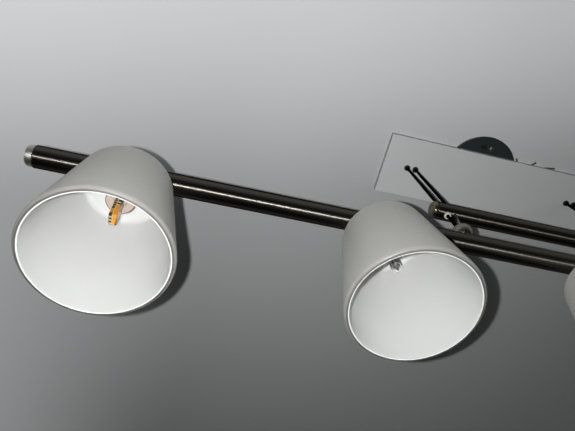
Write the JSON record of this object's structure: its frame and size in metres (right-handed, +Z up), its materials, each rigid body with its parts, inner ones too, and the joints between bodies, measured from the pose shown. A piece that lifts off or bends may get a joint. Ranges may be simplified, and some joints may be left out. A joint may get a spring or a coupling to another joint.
{
  "type": "ceiling bar spotlight",
  "caption": "Ceiling bar spotlight: glass bell shades that swing and lean on a long nickel bar, hung by rods from a shorter bar and a white tray plate on a round mounting disc.",
  "frame": {"origin": "in the ceiling plane, on the mounting disc's back face, above the middle of both bars", "axes": "+X along the bars, +Z up to the ceiling, -Y to the side where the disc shows past the plate"},
  "size_m": [1.082, 0.1284, 0.3648],
  "materials": {
    "grey_enamel": "dark green-grey enamel, satin",
    "zinc_steel": "zinc-plated steel",
    "white_enamel": "white powder coat, satin",
    "black_rubber": "matt black rubber",
    "black_nickel": "dark nickel plate, polished",
    "bright_nickel": "nickel plate, polished like a mirror",
    "satin_nickel": "nickel plate, satin",
    "clear_sleeve": "clear wire sleeve over tinned copper",
    "lead_insulation": "dark wire insulation",
    "white_nylon": "natural white nylon",
    "lamp_ceramic": "white glazed steatite with a reddish edge",
    "opal_glass": "opal glass, satin outside, bright inside",
    "stick_silicone": "amber phosphor under clear silicone",
    "clear_glass": "clear lamp glass"
  },
  "bodies": {
    "frame": {"mounting_disc": "grey_enamel", "earth_screw": "zinc_steel", "strap_screws": "zinc_steel", "strap": "zinc_steel", "strap_nuts": "zinc_steel", "bar_nuts": "zinc_steel", "ceiling_plate": "white_enamel", "grommets": "black_rubber", "outer_rods": "black_nickel", "inner_rods": "black_nickel", "rod_collars": "black_nickel", "upper_tube": "bright_nickel", "lower_tube": "bright_nickel", "upper_cap_left": "bright_nickel", "upper_cap_right": "bright_nickel", "lower_cap_left": "satin_nickel", "lower_cap_right": "satin_nickel", "ball_coupling_left": "satin_nickel", "ball_coupling_right": "satin_nickel", "link_wires": "clear_sleeve", "bar_wires": "lead_insulation", "supply_leads": "lead_insulation", "terminal_block": "white_nylon", "ferrules": "white_nylon"},
    "collar_1": {"collar_1": "satin_nickel"},
    "head_1": {"swivel_pin_1": "zinc_steel", "holder_1": "satin_nickel", "retaining_ring_1": "white_nylon", "lampholder_1": "lamp_ceramic", "shade_1": "opal_glass", "lamp_1": "stick_silicone"},
    "collar_2": {"collar_2": "satin_nickel"},
    "head_2": {"swivel_pin_2": "zinc_steel", "holder_2": "satin_nickel", "retaining_ring_2": "white_nylon", "lampholder_2": "lamp_ceramic", "shade_2": "opal_glass", "lamp_2": "clear_glass"},
    "collar_3": {"collar_3": "satin_nickel"},
    "head_3": {"swivel_pin_3": "zinc_steel", "holder_3": "satin_nickel", "retaining_ring_3": "white_nylon", "lampholder_3": "lamp_ceramic", "shade_3": "opal_glass", "lamp_3": "clear_glass"},
    "collar_4": {"collar_4": "satin_nickel"},
    "head_4": {"swivel_pin_4": "zinc_steel", "holder_4": "satin_nickel", "retaining_ring_4": "white_nylon", "lampholder_4": "lamp_ceramic", "shade_4": "opal_glass", "lamp_4": "clear_glass"},
    "collar_5": {"collar_5": "satin_nickel"},
    "head_5": {"swivel_pin_5": "zinc_steel", "holder_5": "satin_nickel", "retaining_ring_5": "white_nylon", "lampholder_5": "lamp_ceramic", "shade_5": "opal_glass", "lamp_5": "clear_glass"}
  },
  "joints": [
    {"name": "head_1_swing", "type": "hinge", "parent": "frame", "child": "collar_1", "pos_m": [-0.4536, 0, -0.2375], "axis": [1, 0, 0], "range_deg": [-79.64, 70.36]},
    {"name": "head_1_lean", "type": "hinge", "parent": "collar_1", "child": "head_1", "pos_m": [-0.4536, 0.00117, -0.25195], "axis": [0, -0.9967, -0.0809], "range_deg": [-16.35, 7.65]},
    {"name": "head_2_swing", "type": "hinge", "parent": "frame", "child": "collar_2", "pos_m": [-0.2268, 0, -0.2375], "axis": [1, 0, 0], "range_deg": [-77.69, 72.31]},
    {"name": "head_2_lean", "type": "hinge", "parent": "collar_2", "child": "head_2", "pos_m": [-0.2268, 0.00068, -0.25198], "axis": [0, -0.9989, -0.0469], "range_deg": [-12.52, 11.48]},
    {"name": "head_3_swing", "type": "hinge", "parent": "frame", "child": "collar_3", "pos_m": [0, 0, -0.2375], "axis": [1, 0, 0], "range_deg": [-80.39, 69.61]},
    {"name": "head_3_lean", "type": "hinge", "parent": "collar_3", "child": "head_3", "pos_m": [0, 0.00136, -0.25194], "axis": [0, -0.9956, -0.0939], "range_deg": [-7.3, 16.7]},
    {"name": "head_4_swing", "type": "hinge", "parent": "frame", "child": "collar_4", "pos_m": [0.2268, 0, -0.2375], "axis": [1, 0, 0], "range_deg": [-78.4, 71.6]},
    {"name": "head_4_lean", "type": "hinge", "parent": "collar_4", "child": "head_4", "pos_m": [0.2268, 0.00086, -0.25197], "axis": [0, -0.9982, -0.0593], "range_deg": [-13.6, 10.4]},
    {"name": "head_5_swing", "type": "hinge", "parent": "frame", "child": "collar_5", "pos_m": [0.4536, 0, -0.2375], "axis": [1, 0, 0], "range_deg": [-79.2, 70.8]},
    {"name": "head_5_lean", "type": "hinge", "parent": "collar_5", "child": "head_5", "pos_m": [0.4536, 0.00106, -0.25196], "axis": [0, -0.9973, -0.0732], "range_deg": [-9.9, 14.1]}
  ]
}
